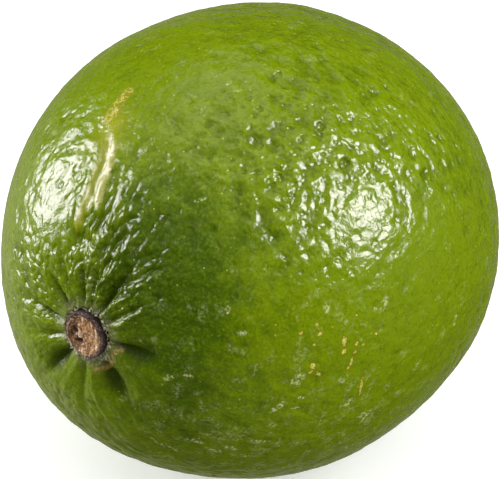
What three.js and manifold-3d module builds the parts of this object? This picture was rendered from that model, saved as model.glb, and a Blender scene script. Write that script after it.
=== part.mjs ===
// A whole lime lying on its side, with the dry woody button that its stem left behind.
//
// Units are millimetres and +Z is up. The fruit lies along Y: its stem end faces -Y, and its
// blossom end, with the nipple, faces +Y. It rests on the ground, Z = 0, on a small flat spot,
// and the origin is the middle of that spot.
//
// A place on the skin is given by two angles, in degrees:
//   fromStem  0 at the stem end, 90 at the widest section, 180 at the blossom end
//   around    about the fruit's axis, seen from the stem end: 0 is +X, 90 is up, 270 is down
import * as THREE from "three";
import { ConvexGeometry } from "three/addons/geometries/ConvexGeometry.js";
import { mergeVertices } from "three/addons/utils/BufferGeometryUtils.js";
import Module from "manifold-3d";

const wasm = await Module();
wasm.setup();

// ---------------------------------------------------------------- driving dimensions

const DIAMETER = 52.5; // across the widest section
const REST_DEPTH = 0.5; // how much the fruit's weight has flattened it where it lies

// Each half from the widest section to its end, without dimple or nipple. Fullness 2 is an
// ellipse, less is more pointed and more is boxier.
const STEM_HALF = { length: 28.5, fullness: 1.92 };
const BLOSSOM_HALF = { length: 29.5, fullness: 2.2 };

const DIMPLE = { depth: 1.6, spread: 13 }; // the hollow round the button, spread in degrees
const NIPPLE = { height: 2.5, spread: 10 };
const NIPPLE_GROOVE = { depth: 0.3, fromTip: 20, spread: 6 }; // the ring that sets it off

// Broad swells and hollows that make the outline a little uneven.
const SWELL_SPREAD = 26;
const SWELLS = [
  { fromStem: 125, around: 77, rise: -0.7 },
  { fromStem: 102, around: 112, rise: -0.35 },
  { fromStem: 50, around: 178, rise: -0.25 },
  { fromStem: 43, around: 234, rise: 0.5 },
  { fromStem: 61, around: 280, rise: -0.3 },
  { fromStem: 88, around: 311, rise: 0.2 },
  { fromStem: 115, around: 342, rise: 0.6 },
];

// The creases that run out from the button between the lobes of the stem end. Each deepens from
// CREASE_START.none to CREASE_START.full, fades from CREASE_FADE of its reach, and ends there.
// Its two sides may differ in steepness: before and after are how wide it is on each side of
// its bottom, towards smaller and larger angles around.
const CREASE_START = { none: 5, full: 9 };
const CREASE_FADE = 0.35;
const CREASES = [
  { around: 357, depth: 0.85, before: 18, after: 11, reach: 25 },
  { around: 22, depth: 0.25, before: 7, after: 7, reach: 22 },
  { around: 37, depth: 0.4, before: 7, after: 6, reach: 30 },
  { around: 60, depth: 0.9, before: 8, after: 10, reach: 31 },
  { around: 81, depth: 0.5, before: 9, after: 7, reach: 34 },
  { around: 98, depth: 0.8, before: 11, after: 7, reach: 26 },
  { around: 117, depth: 0.45, before: 8, after: 8, reach: 30 },
  { around: 136, depth: 0.9, before: 12, after: 9, reach: 24 },
  { around: 154, depth: 0.35, before: 7, after: 8, reach: 20 },
  { around: 172, depth: 0.8, before: 12, after: 13, reach: 26 },
  { around: 199, depth: 0.55, before: 14, after: 9, reach: 22 },
  { around: 228, depth: 1, before: 16, after: 11, reach: 28 },
  { around: 262, depth: 0.5, before: 14, after: 11, reach: 28 },
  { around: 304, depth: 1, before: 25, after: 17, reach: 25 },
];

// The deepest places between the lobes.
const HOLLOWS = [
  { fromStem: 14, around: 357, depth: 0.5, spread: 4.5 },
  { fromStem: 12, around: 306, depth: 0.6, spread: 4.5 },
  { fromStem: 13, around: 226, depth: 0.4, spread: 5 },
];

// The pits of the oil glands, wider than life so that each is one corner of the faceted skin.
// They differ in depth, and the skin between them swells unevenly.
const PIT_COUNT = 1750;
const PIT_DEPTH = { least: 0.04, most: 0.34 };
const SWELLING = 0.05; // up or down, between the pits
const PIT_SEED = 11;
const PIT_FREE_STEM = { none: 20, full: 38 }; // the creased stem end has none, fromStem
const PIT_FREE_NIPPLE = { none: 4, full: 18 }; // nor has the nipple's tip, from the tip
const PIT_FREE_REST = { none: 15, full: 24 }; // nor has the rest spot, from straight down

// How many times more the facets crowd at the two ends, and how far that spreads.
const STEM_CROWDING = { extra: 2.6, spread: 24 };
const NIPPLE_CROWDING = { extra: 1.5, spread: 18 };

const BUTTON = { radius: 2.6, height: 0.65, sunk: 1.1, flare: 0.12, sides: 48, rings: 10 };
const BUTTON_GAP = 0.3; // clearance all round in its socket

// The wood is a disc, a little off the button's middle, with a groove between it and the bark.
// The pith and the sap vessels have left holes in it. x and z are from the button's middle.
const WOOD = { x: 0.02, z: -0.2, radius: 2.2, sunk: 0.14, edge: 0.3 };
const GROOVE = { depth: 0.15, spread: 0.25 };
const HOLES = [
  { x: -0.8, z: -0.9, depth: 0.5, spread: 0.45 },
  { x: -1.4, z: -0.05, depth: 0.4, spread: 0.4 },
  { x: -1.85, z: -0.6, depth: 0.3, spread: 0.4 },
  { x: -1.2, z: 0.8, depth: 0.15, spread: 0.35 },
  { x: 0.9, z: -1.05, depth: 0.15, spread: 0.3 },
];

const SKIN_GREEN = 0x667f10;
const WOOD_BROWN = 0x8a6238;

// ---------------------------------------------------------------- the skin's shape

const { degToRad: rad, smoothstep, clamp, lerp, seededRandom } = THREE.MathUtils;
const GOLDEN_ANGLE = Math.PI * (3 - Math.sqrt(5));
const RADIUS = DIAMETER / 2;
const AXIS_HEIGHT = RADIUS - REST_DEPTH;
const DIMPLE_FLOOR = STEM_HALF.length - DIMPLE.depth; // from the middle, along the axis

function bell(distance, spread) {
  return Math.exp(-((distance / spread) ** 2));
}

function direction(fromStem, around) {
  const across = Math.sin(fromStem);
  const out = -Math.cos(fromStem);
  return new THREE.Vector3(across * Math.cos(around), out, across * Math.sin(around));
}

function stemAngle(dir) {
  return Math.acos(clamp(-dir.y, -1, 1));
}

// How far around is past the centre, from -PI to PI.
function turnFrom(around, centre) {
  return Math.atan2(Math.sin(around - centre), Math.cos(around - centre));
}

function oval(dir) {
  const half = dir.y < 0 ? STEM_HALF : BLOSSOM_HALF;
  const along = Math.abs(dir.y / half.length) ** half.fullness;
  const across = (Math.hypot(dir.x, dir.z) / RADIUS) ** half.fullness;
  return (along + across) ** (-1 / half.fullness);
}

const swellCentres = SWELLS.map((s) => direction(rad(s.fromStem), rad(s.around)));

function swell(dir) {
  const rises = SWELLS.map(
    (s, i) => s.rise * bell(dir.angleTo(swellCentres[i]), rad(SWELL_SPREAD)),
  );
  return rises.reduce((sum, rise) => sum + rise, 0);
}

function creaseDepth(fromStem, around) {
  const start = smoothstep(fromStem, rad(CREASE_START.none), rad(CREASE_START.full));
  const depths = CREASES.map((crease) => {
    const turn = turnFrom(around, rad(crease.around));
    const off = Math.min(1, Math.abs(turn) / rad(turn < 0 ? crease.before : crease.after));
    const reach = rad(crease.reach);
    const fade = 1 - smoothstep(fromStem, reach * CREASE_FADE, reach);
    return crease.depth * (1 - off) ** 2 * fade;
  });
  return start * depths.reduce((sum, depth) => sum + depth, 0);
}

const hollowCentres = HOLLOWS.map((h) => direction(rad(h.fromStem), rad(h.around)));

function hollowDepth(dir) {
  const depths = HOLLOWS.map((h, i) => h.depth * bell(dir.angleTo(hollowCentres[i]), rad(h.spread)));
  return depths.reduce((sum, depth) => sum + depth, 0);
}

// How far the skin is from the middle of the fruit, in a direction.
function skinRadius(dir) {
  const fromStem = stemAngle(dir);
  const fromTip = Math.PI - fromStem;
  const dimple = DIMPLE.depth * bell(fromStem, rad(DIMPLE.spread));
  const nipple = NIPPLE.height * bell(fromTip, rad(NIPPLE.spread));
  const offGroove = fromTip - rad(NIPPLE_GROOVE.fromTip);
  const groove = NIPPLE_GROOVE.depth * bell(offGroove, rad(NIPPLE_GROOVE.spread));
  const creases = creaseDepth(fromStem, Math.atan2(dir.z, dir.x)) + hollowDepth(dir);
  return oval(dir) + swell(dir) - dimple - creases + nipple - groove;
}

// 1 where the skin has its pits, 0 at the creased stem end, the nipple's tip and the rest spot.
function pitted(dir) {
  const clearOf = (angle, free) => smoothstep(angle, rad(free.none), rad(free.full));
  const fromStem = stemAngle(dir);
  const fromRest = dir.angleTo(new THREE.Vector3(0, 0, -1));
  const offEnds = clearOf(fromStem, PIT_FREE_STEM) * clearOf(Math.PI - fromStem, PIT_FREE_NIPPLE);
  return offEnds * clearOf(fromRest, PIT_FREE_REST);
}

// ---------------------------------------------------------------- meshes and solids

function facetCrowding(fromStem) {
  const stem = STEM_CROWDING.extra * bell(fromStem, rad(STEM_CROWDING.spread));
  const nipple = NIPPLE_CROWDING.extra * bell(Math.PI - fromStem, rad(NIPPLE_CROWDING.spread));
  return 1 + stem + nipple;
}

// Directions on a spiral from the stem end to the blossom end, evenly spread but for the
// crowding at the two ends.
function spiral(count) {
  const steps = 2000;
  const reached = [0];
  for (let i = 0; i < steps; i++) {
    const fromStem = (Math.PI * (i + 0.5)) / steps;
    reached.push(reached[i] + Math.sin(fromStem) * facetCrowding(fromStem));
  }
  let step = 0;
  return Array.from({ length: count }, (_, i) => {
    const share = ((i + 0.5) / count) * reached[steps];
    while (reached[step + 1] < share) step++;
    const part = (share - reached[step]) / (reached[step + 1] - reached[step]);
    return direction((Math.PI * (step + part)) / steps, i * GOLDEN_ANGLE);
  });
}

// The hull of the pits' directions, with a corner added in the middle of each face. Each edge
// between two pits is replaced by one between the two middles beside it, so that every pit is
// ringed by corners that aren't pits. The pits come first in the directions.
function pittedSphere(pitCount) {
  const hull = new ConvexGeometry(spiral(pitCount));
  hull.deleteAttribute("normal");
  const merged = mergeVertices(hull, 1e-6);
  const corners = merged.getAttribute("position");
  const directions = Array.from({ length: corners.count }, (_, i) =>
    new THREE.Vector3().fromBufferAttribute(corners, i),
  );
  const middleBeside = new Map();
  for (let f = 0; f < merged.index.count; f += 3) {
    const face = [0, 1, 2].map((k) => merged.index.getX(f + k));
    face.forEach((a, k) => middleBeside.set(`${a},${face[(k + 1) % 3]}`, directions.length));
    const middle = face.reduce((sum, a) => sum.add(directions[a]), new THREE.Vector3());
    directions.push(middle.normalize());
  }
  const triangles = [];
  for (const [edge, middle] of middleBeside) {
    const [a, b] = edge.split(",").map(Number);
    triangles.push(a, middleBeside.get(`${b},${a}`), middle);
  }
  return { directions, triangles, pitCount: corners.count };
}

function closedMesh(points, triangles) {
  const geometry = new THREE.BufferGeometry();
  geometry.setFromPoints(points);
  geometry.setIndex(triangles);
  return geometry;
}

function toSolid(geometry) {
  const bare = geometry.clone();
  bare.deleteAttribute("normal");
  bare.deleteAttribute("uv");
  const merged = mergeVertices(bare, 1e-4);
  const vertProperties = merged.getAttribute("position").array;
  const triVerts = new Uint32Array(merged.index.array);
  return new wasm.Manifold(new wasm.Mesh({ numProp: 3, vertProperties, triVerts }));
}

function toGeometry(solid) {
  const mesh = solid.getMesh();
  const geometry = new THREE.BufferGeometry();
  geometry.setAttribute("position", new THREE.BufferAttribute(mesh.vertProperties, 3));
  geometry.setIndex(new THREE.BufferAttribute(mesh.triVerts, 1));
  geometry.computeVertexNormals();
  return geometry;
}

// ---------------------------------------------------------------- the fruit

// The recess that the button sits in, turned about the fruit's axis.
function socket() {
  const radius = BUTTON.radius + BUTTON.flare + BUTTON_GAP;
  const floor = DIMPLE_FLOOR - BUTTON.sunk - BUTTON_GAP;
  const mouth = STEM_HALF.length + BUTTON.height;
  const profile = [
    new THREE.Vector2(0, floor),
    new THREE.Vector2(radius, floor),
    new THREE.Vector2(radius, mouth),
    new THREE.Vector2(0, mouth),
  ];
  return new THREE.LatheGeometry(profile, BUTTON.sides).rotateZ(Math.PI);
}

function fruitGeometry() {
  const sphere = pittedSphere(PIT_COUNT);
  seededRandom(PIT_SEED);
  const points = sphere.directions.map((dir, i) => {
    const isPit = i < sphere.pitCount;
    const [low, high] = isPit ? [-PIT_DEPTH.most, -PIT_DEPTH.least] : [-SWELLING, SWELLING];
    const rise = lerp(low, high, seededRandom());
    return dir.clone().multiplyScalar(skinRadius(dir) + rise * pitted(dir));
  });
  const ground = new THREE.BoxGeometry(DIAMETER, DIAMETER, DIAMETER);
  ground.translate(0, 0, -AXIS_HEIGHT - DIAMETER / 2);
  const solid = toSolid(closedMesh(points, sphere.triangles))
    .subtract(toSolid(ground))
    .subtract(toSolid(socket()));
  return toGeometry(solid).translate(0, 0, AXIS_HEIGHT);
}

// ---------------------------------------------------------------- the button

// How far the button's broken face is from the middle of the fruit, at a place on it.
function buttonFace(x, z) {
  const fromWood = Math.hypot(x - WOOD.x, z - WOOD.z);
  const wood = 1 - smoothstep(fromWood, WOOD.radius - WOOD.edge, WOOD.radius + WOOD.edge);
  const groove = GROOVE.depth * bell(fromWood - WOOD.radius, GROOVE.spread);
  const depths = HOLES.map((h) => h.depth * bell(Math.hypot(x - h.x, z - h.z), h.spread));
  const holes = depths.reduce((sum, depth) => sum + depth, 0);
  return DIMPLE_FLOOR + BUTTON.height - WOOD.sunk * wood - groove - holes;
}

// The face is rings of corners about a middle one, and one more ring is the edge of the foot.
function buttonGeometry() {
  const { sides, rings } = BUTTON;
  const foot = DIMPLE_FLOOR - BUTTON.sunk;
  const points = [new THREE.Vector3(0, -buttonFace(0, 0), 0)];
  for (let ring = 1; ring <= rings + 1; ring++) {
    const onFace = ring <= rings;
    const radius = onFace ? (BUTTON.radius * ring) / rings : BUTTON.radius + BUTTON.flare;
    for (let side = 0; side < sides; side++) {
      const around = (2 * Math.PI * side) / sides;
      const x = radius * Math.cos(around);
      const z = radius * Math.sin(around);
      points.push(new THREE.Vector3(x, onFace ? -buttonFace(x, z) : -foot, z));
    }
  }
  points.push(new THREE.Vector3(0, -foot, 0));

  const last = points.length - 1;
  const corner = (ring, side) => 1 + ring * sides + (side % sides);
  const triangles = [];
  for (let side = 0; side < sides; side++) {
    triangles.push(0, corner(0, side), corner(0, side + 1));
    for (let ring = 0; ring < rings; ring++) {
      const inner = [corner(ring, side), corner(ring, side + 1)];
      const outer = [corner(ring + 1, side), corner(ring + 1, side + 1)];
      triangles.push(inner[0], outer[0], outer[1]);
      triangles.push(inner[0], outer[1], inner[1]);
    }
    triangles.push(last, corner(rings, side + 1), corner(rings, side));
  }
  const geometry = closedMesh(points, triangles).translate(0, 0, AXIS_HEIGHT);
  geometry.computeVertexNormals();
  return geometry;
}

// ---------------------------------------------------------------- the assembly

function namedMesh(name, geometry, color, roughness) {
  const material = new THREE.MeshStandardMaterial({ color, roughness, metalness: 0 });
  const mesh = new THREE.Mesh(geometry, material);
  mesh.name = name;
  return mesh;
}

const lime = new THREE.Group();
lime.name = "lime";
lime.add(namedMesh("fruit", fruitGeometry(), SKIN_GREEN, 0.35));
lime.add(namedMesh("stem_button", buttonGeometry(), WOOD_BROWN, 0.9));

export default lime;
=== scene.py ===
"""Makes a fresh lime in Blender: the pitted peel with its creased stem end, the dry woody stem button
and the ragged scales of the calyx round it.

A place on the peel is given by two angles in degrees, as in the part's own source. "From stem" is 0 at
the stem end, 90 at the widest section and 180 at the blossom end. "Around" turns about the fruit's axis,
seen from the stem end: 0 is +X, 90 is straight up and 270 is straight down. Lengths are in millimetres
unless a name or comment says metres, because most of them are fractions of a millimetre.
"""

import math
import random

import bpy
import numpy as np
from mathutils import Matrix, Vector, noise


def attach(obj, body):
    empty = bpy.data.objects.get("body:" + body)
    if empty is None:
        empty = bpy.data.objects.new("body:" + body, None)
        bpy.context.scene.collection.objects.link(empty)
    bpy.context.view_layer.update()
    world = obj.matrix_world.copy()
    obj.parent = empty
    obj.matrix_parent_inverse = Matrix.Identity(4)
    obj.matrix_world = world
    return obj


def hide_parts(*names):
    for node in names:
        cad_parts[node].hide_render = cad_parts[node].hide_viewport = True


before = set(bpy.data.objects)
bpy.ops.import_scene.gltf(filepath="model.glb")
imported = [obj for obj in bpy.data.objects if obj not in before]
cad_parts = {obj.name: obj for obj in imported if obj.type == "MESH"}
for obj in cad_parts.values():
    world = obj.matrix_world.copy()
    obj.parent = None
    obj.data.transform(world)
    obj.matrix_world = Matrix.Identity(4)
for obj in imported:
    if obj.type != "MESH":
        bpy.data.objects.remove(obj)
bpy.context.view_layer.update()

bl_info = {
    "name": "Fresh Lime",
    "version": (1, 0, 0),
    "blender": (4, 5, 0),
    "location": "3D View > Sidebar > Lime",
    "description": "Makes a lime with pitted peel, a creased stem end and a woody stem button",
    "category": "Add Mesh",
}

METRES_PER_MM = 0.001

# -------- the fruit's form, as in the part's source

DIAMETER = 52.5
RADIUS = DIAMETER / 2
REST_DEPTH = 0.5
AXIS_HEIGHT = RADIUS - REST_DEPTH
STEM_HALF = {"length": 28.5, "fullness": 1.92}
BLOSSOM_HALF = {"length": 29.5, "fullness": 2.2}
DIMPLE = {"depth": 1.6, "spread": 13}
NIPPLE = {"height": 2.5, "spread": 10}
NIPPLE_GROOVE = {"depth": 0.3, "from_tip": 20, "spread": 6}

# Wide, low swells and flats: from stem, around, rise, spread.
SWELLS = (
    (125, 77, -0.7, 26),
    (102, 112, -0.35, 26),
    (50, 178, -0.25, 26),
    (43, 234, 0.5, 26),
    (61, 280, -0.3, 26),
    (88, 311, 0.2, 26),
    (115, 342, 0.6, 26),
)

CREASE_START = (5.0, 9.0)
CREASE_FADE = 0.35

# Around, depth, half width before it and after it, reach from stem.
CREASES = (
    (357, 0.85, 18, 11, 25),
    (22, 0.25, 7, 7, 22),
    (37, 0.4, 7, 6, 30),
    (60, 0.9, 8, 10, 31),
    (81, 0.5, 9, 7, 34),
    (98, 0.8, 11, 7, 26),
    (117, 0.45, 8, 8, 30),
    (136, 0.9, 12, 9, 24),
    (154, 0.35, 7, 8, 20),
    (172, 0.8, 12, 13, 26),
    (199, 0.55, 14, 9, 22),
    (228, 1.0, 16, 11, 28),
    (262, 0.5, 14, 11, 28),
    (304, 1.0, 25, 17, 25),
)

# From stem, around, depth, spread: the deepest places between the lobes.
HOLLOWS = (
    (14, 357, 0.5, 4.5),
    (12, 306, 0.6, 4.5),
    (13, 226, 0.4, 5),
)

BUTTON_RADIUS = 2.6
BUTTON_HEIGHT = 0.65
BUTTON_SUNK = 1.1
DIMPLE_FLOOR = STEM_HALF["length"] - DIMPLE["depth"]
FRUIT_MIDDLE = (0, 0, AXIS_HEIGHT)


# -------- numbers on arrays of places

def bell(distance, spread):
    return np.exp(-((distance / spread) ** 2))


def smoothstep(value, low, high):
    part = np.clip((value - low) / (high - low), 0, 1)
    return part * part * (3 - 2 * part)


def turn_from(around, centre):
    """How far around is past the centre, in degrees from -180 to 180."""
    return (around - centre + 180) % 360 - 180


def direction(from_stem, around):
    """Unit vectors for places on the peel, in the last axis of the array."""
    polar, turn = np.radians(from_stem), np.radians(around)
    return np.stack([np.sin(polar) * np.cos(turn), -np.cos(polar), np.sin(polar) * np.sin(turn)], -1)


def place_of(directions):
    """The inverse of direction: from stem and around, in degrees."""
    from_stem = np.degrees(np.arccos(np.clip(-directions[:, 1], -1, 1)))
    around = np.degrees(np.arctan2(directions[:, 2], directions[:, 0]))
    return from_stem, around


def oval(directions):
    """How far the peel of a plain oval fruit is from its middle."""
    along, across = directions[:, 1], np.hypot(directions[:, 0], directions[:, 2])

    def half_radius(half):
        power = half["fullness"]
        total = np.abs(along / half["length"]) ** power + (across / RADIUS) ** power
        return total ** (-1 / power)

    return np.where(along < 0, half_radius(STEM_HALF), half_radius(BLOSSOM_HALF))


def degrees_from(directions, from_stem, around):
    """The angle between directions and a place on the peel."""
    cosine = directions @ direction(from_stem, around)
    return np.degrees(np.arccos(np.clip(cosine, -1, 1)))


def hills(directions, rows, ground=0.0):
    """The ground and a hill on it for each row: from stem, around, height, spread."""
    total = np.full(len(directions), ground)
    for from_stem, around, height, spread in rows:
        total += height * bell(degrees_from(directions, from_stem, around), spread)
    return total


def crease_depth(from_stem, around):
    """How deep the creases between the lobes of the stem end are."""
    total = np.zeros(len(from_stem))
    for centre, depth, before, after, reach in CREASES:
        turn = turn_from(around, centre)
        off = np.minimum(1, np.abs(turn) / np.where(turn < 0, before, after))
        fade = 1 - smoothstep(from_stem, reach * CREASE_FADE, reach)
        total += depth * (1 - off) ** 2 * fade
    return total * smoothstep(from_stem, *CREASE_START)


def peel_radius(directions):
    """How far the peel is from the middle of the fruit, before its fine relief."""
    from_stem, around = place_of(directions)
    from_tip = 180 - from_stem
    dimple = DIMPLE["depth"] * bell(from_stem, DIMPLE["spread"])
    nipple = NIPPLE["height"] * bell(from_tip, NIPPLE["spread"])
    groove = NIPPLE_GROOVE["depth"] * bell(from_tip - NIPPLE_GROOVE["from_tip"], NIPPLE_GROOVE["spread"])
    creases = crease_depth(from_stem, around) + hills(directions, HOLLOWS)
    return oval(directions) + hills(directions, SWELLS) - dimple - creases + nipple - groove


def peel_place(from_stem, around):
    """The direction of one place on the peel, and how far the peel is from the middle there."""
    outward = direction(from_stem, around)
    return outward, peel_radius(outward[None])[0]


# -------- node trees as Python expressions

class Wire:
    """An output socket of a node tree. Arithmetic on wires and numbers adds Math nodes."""

    def __init__(self, tree, socket):
        self.tree = tree
        self.socket = socket

    def node(self, kind, settings=None, inputs=None, output=0):
        """Adds any other node: its settings are set first, then its inputs, by name or number."""
        return add_node(self.tree, kind, settings, inputs, output)

    def math(self, operation, *values):
        return self.node("ShaderNodeMath", {"operation": operation}, dict(enumerate(values)))

    def __add__(self, other):
        return self.math("ADD", self, other)

    def __radd__(self, other):
        return self.math("ADD", other, self)

    def __sub__(self, other):
        return self.math("SUBTRACT", self, other)

    def __rsub__(self, other):
        return self.math("SUBTRACT", other, self)

    def __mul__(self, other):
        return self.math("MULTIPLY", self, other)

    def __rmul__(self, other):
        return self.math("MULTIPLY", other, self)

    def __truediv__(self, other):
        return self.math("DIVIDE", self, other)

    def __rtruediv__(self, other):
        return self.math("DIVIDE", other, self)

    def __pow__(self, other):
        return self.math("POWER", self, other)

    def __rpow__(self, other):
        return self.math("POWER", other, self)

    def __neg__(self):
        return self.math("MULTIPLY", self, -1)

    def vector(self, operation, *values, output=0):
        inputs = dict(enumerate(values))
        return self.node("ShaderNodeVectorMath", {"operation": operation}, inputs, output)

    def scaled(self, factor):
        inputs = {"Vector": self, "Scale": factor}
        return self.node("ShaderNodeVectorMath", {"operation": "SCALE"}, inputs)

    def part(self, axis):
        return self.node("ShaderNodeSeparateXYZ", None, {0: self}, "XYZ".index(axis))

    def bell(self, spread):
        return math.e ** -((self / spread) ** 2)

    def step(self, low, high):
        """0 up to low, 1 from high on, smooth between; low may be the larger."""
        settings = {"interpolation_type": "SMOOTHSTEP"}
        inputs = {"Value": self, "From Min": low, "From Max": high}
        return self.node("ShaderNodeMapRange", settings, inputs)

    def noise(self, scale, detail=2.0, roughness=0.5, output="Fac"):
        """Blender's noise at this position in millimetres: scale is waves per millimetre."""
        inputs = {"Vector": self, "Scale": scale, "Detail": detail, "Roughness": roughness}
        return self.node("ShaderNodeTexNoise", None, inputs, output)

    def ripple(self, scale, height, detail=1.0, roughness=0.5):
        """The same noise about 0, with a height."""
        return (self.noise(scale, detail, roughness) - 0.5) * height

    def jittered(self, scale, amount):
        """This position moved about by noise, so that round forms come out uneven."""
        shift = self.noise(scale, 1.0, 0.5, "Color")
        centred = shift.vector("SUBTRACT", shift, (0.5, 0.5, 0.5))
        return self.vector("ADD", self, centred.scaled(amount))

    def bump(self):
        """A normal for a shader, from this height in millimetres."""
        return self.node("ShaderNodeBump", None, {"Height": self, "Distance": METRES_PER_MM})

    def cells(self, size, feature="F1", output="Distance", **extra):
        """How far a position in millimetres is from the nearest seed, in sizes of a cell."""
        inputs = {"Vector": self, "Scale": 1 / size, "Randomness": 0.9, **extra}
        return self.node("ShaderNodeTexVoronoi", {"feature": feature}, inputs, output)


def set_inputs(node, inputs):
    """Links wires to a node's sockets, and sets the other sockets to plain values."""
    for name, value in inputs.items():
        if isinstance(value, Wire):
            value.tree.links.new(value.socket, node.inputs[name])
        else:
            node.inputs[name].default_value = value


def add_node(tree, kind, settings=None, inputs=None, output=0):
    node = tree.nodes.new(kind)
    for name, value in (settings or {}).items():
        setattr(node, name, value)
    set_inputs(node, inputs or {})
    return Wire(tree, node.outputs[output]) if len(node.outputs) else node


def mix(factor, first, second):
    """A colour between two others, either of which may be a plain colour."""
    first, second = (colour if isinstance(colour, Wire) else (*colour, 1.0) for colour in (first, second))
    settings = {"data_type": "RGBA", "clamp_factor": True}
    return factor.node("ShaderNodeMix", settings, {0: factor, 6: first, 7: second}, 2)


def new_material(name):
    """An empty material with its Principled shader, and the position on the object in millimetres."""
    material = bpy.data.materials.new(name)
    material.use_nodes = True
    tree = material.node_tree
    shader = tree.nodes["Principled BSDF"]
    metres = add_node(tree, "ShaderNodeTexCoord", None, None, "Object")
    return material, shader, metres.scaled(1 / METRES_PER_MM)


# -------- how the peel differs from place to place

# A layer's amount everywhere, then the blobs that add to it: from stem, around, amount, spread.
PITTED = 0.75, (
    (74, 31, -0.5, 10),
    (66, 48, 0.6, 15),
    (58, 62, 0.45, 13),
    (66, 85, -0.35, 13),
    (85, -30, -0.4, 28),
    (60, 165, -0.55, 26),
    (25, 115, -0.5, 7),
    (40, 15, -0.35, 20),
    (42, -60, -0.2, 20),
    (90, 52, 0.6, 22),
    (92, 14, -0.45, 14),
    (54, 38, 0.3, 9),
    (85, 120, -0.3, 25),
    (176, 0, 0.4, 30),
)
WRINKLED = 0.12, (
    (22, 45, 0.6, 10),
    (24, 75, 0.8, 11),
    (26, 100, 0.5, 10),
    (14, 55, 0.5, 6),
    (13, 85, 0.5, 6),
    (26, 95, 0.6, 6),
    (19, 140, 0.55, 8),
    (25, 117, -0.6, 6),
    (60, 165, -0.12, 26),
    (17, 160, 0.3, 10),
    (15, 210, 0.15, 9),
    (158, 0, 0.2, 20),
)
RIPE = 0.9, (
    (22, -15, -0.55, 20),
    (30, 42, -0.8, 19),
    (33, 85, -0.2, 12),
    (75, 10, 0.2, 28),
)
YELLOWED = 0.0, (
    (49.5, 101, 0.8, 4),
    (44, 101, 0.5, 4),
)
SCUFFED = 0.0, (
    (72, -35, 1.0, 24),
    (40, -45, 1.0, 22),
    (30, 15, 0.6, 10),
    (60, 5, 0.6, 12),
    (45, 45, 0.4, 8),
)

# Thin ribs between the creases: height, half width, then from stem and around of each point.
RIBS = (
    (0.26, 0.3, ((6.9, 92), (11.1, 78.6), (15.7, 72.7), (19.2, 66.9), (24.7, 67.6), (28.9, 72.7))),
    (0.28, 0.3, ((8, 54), (9, 52.9), (15.1, 49.4), (20.2, 47.7), (23.9, 47.6))),
    (0.24, 0.3, ((9.8, 25.3), (13.9, 31.7), (17.7, 33.1), (21, 40))),
    (0.16, 0.35, ((9, 250), (16.3, 245), (21, 246))),
    (0.16, 0.3, ((9.7, 277), (13.4, 277), (17.2, 277), (22, 280))),
    (0.2, 0.25, ((20, 53.1), (22.4, 55.2), (24.2, 59.2))),
    (0.2, 0.3, ((16.8, 91.4), (19.2, 88.8), (22.1, 84.8), (25, 82.7), (29, 84))),
    (0.2, 0.3, ((15.3, 84), (17.7, 83.5))),
    (0.2, 0.3, ((19.7, 77.7), (22.8, 78.9), (25.8, 77.4), (29, 78.4))),
    (0.2, 0.3, ((8.3, 123), (9.6, 117), (11.8, 114), (13.7, 111.3))),
    (0.26, 0.72, ((46, 97.5), (43.5, 96), (40.3, 95.3), (35.7, 94.2), (31, 93.6), (26, 95))),
)

# A groove along the healed rub, given as the ribs are.
RUB_GROOVE = (0.15, 0.5, ((45, 99), (42.5, 98.2), (39, 97.8), (36, 97.6), (32, 97.8), (28, 99)))

# Lines that colour the peel: half width, then from stem and around of each point.
LINES = {
    "off_streak": (0.5, (
        (46.5, 100.3), (43.3, 99.6), (39.5, 99.4), (36.2, 99.6), (31.7, 100), (28, 101.5), (25, 104))),
    # The line of the painted highlight along the rub's raised edge.
    "off_edge": (0.6, ((43.5, 96.5), (40.3, 95.8), (35.7, 94.7), (31, 94.1))),
    "off_scribble": (0.8, ((58.2, 102), (54.8, 103), (51.5, 103.5))),
    "off_cork": (0.21, (
        (9, -76.8), (9.1, -65.8), (9.3, -57.9), (8.9, -45), (8.3, -32.8), (7.9, -21.5), (8.7, -12.4),
        (9.8, -9))),
}
FURTHEST_OFF = 9

# Where the pale skin of the collar shows: around, spread, amount.
COLLAR = (
    (-35, 60, 1.0),
    (35, 30, 0.7),
    (72, 14, 1.0),
    (265, 35, 0.6),
    (130, 35, 0.8),
)

# A shallow dent between the ribs: from stem, around, depth, spread.
DENTS = ((22.0, 102, 0.4, 3.4),)

# The peel's mean distance from the middle near the stem, as a share of the stem half's length.
FLAT_SHARE = 0.93


def layer_at(directions, layer, highest=1):
    everywhere, blobs = layer
    return np.clip(hills(directions, blobs, everywhere), 0, highest)


def flat_place(from_stem, around):
    """Millimetres from the middle of the stem end, as if the peel round it were rolled out flat."""
    reach = np.radians(from_stem) * STEM_HALF["length"] * FLAT_SHARE
    turn = np.radians(around)
    return np.stack([reach * np.cos(turn), reach * np.sin(turn)], -1)


def off_line(places, line):
    """How far flat places are from a line of such places, in millimetres."""
    corners = flat_place(*np.array(line, float).T)
    nearest = np.full(len(places), np.inf)
    for start, end in zip(corners[:-1], corners[1:]):
        along = end - start
        share = np.clip((places - start) @ along / (along @ along), 0, 1)
        apart = places - start - share[:, None] * along
        nearest = np.minimum(nearest, np.linalg.norm(apart, axis=1))
    return nearest


def rib_height(directions):
    """How far the ribs stand up, less the groove of the rub."""
    places = flat_place(*place_of(directions))
    total = np.zeros(len(directions))
    for height, half_width, line in RIBS:
        total = np.maximum(total, height * bell(off_line(places, line), half_width))
    depth, half_width, line = RUB_GROOVE
    return total - depth * bell(off_line(places, line), half_width)


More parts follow.
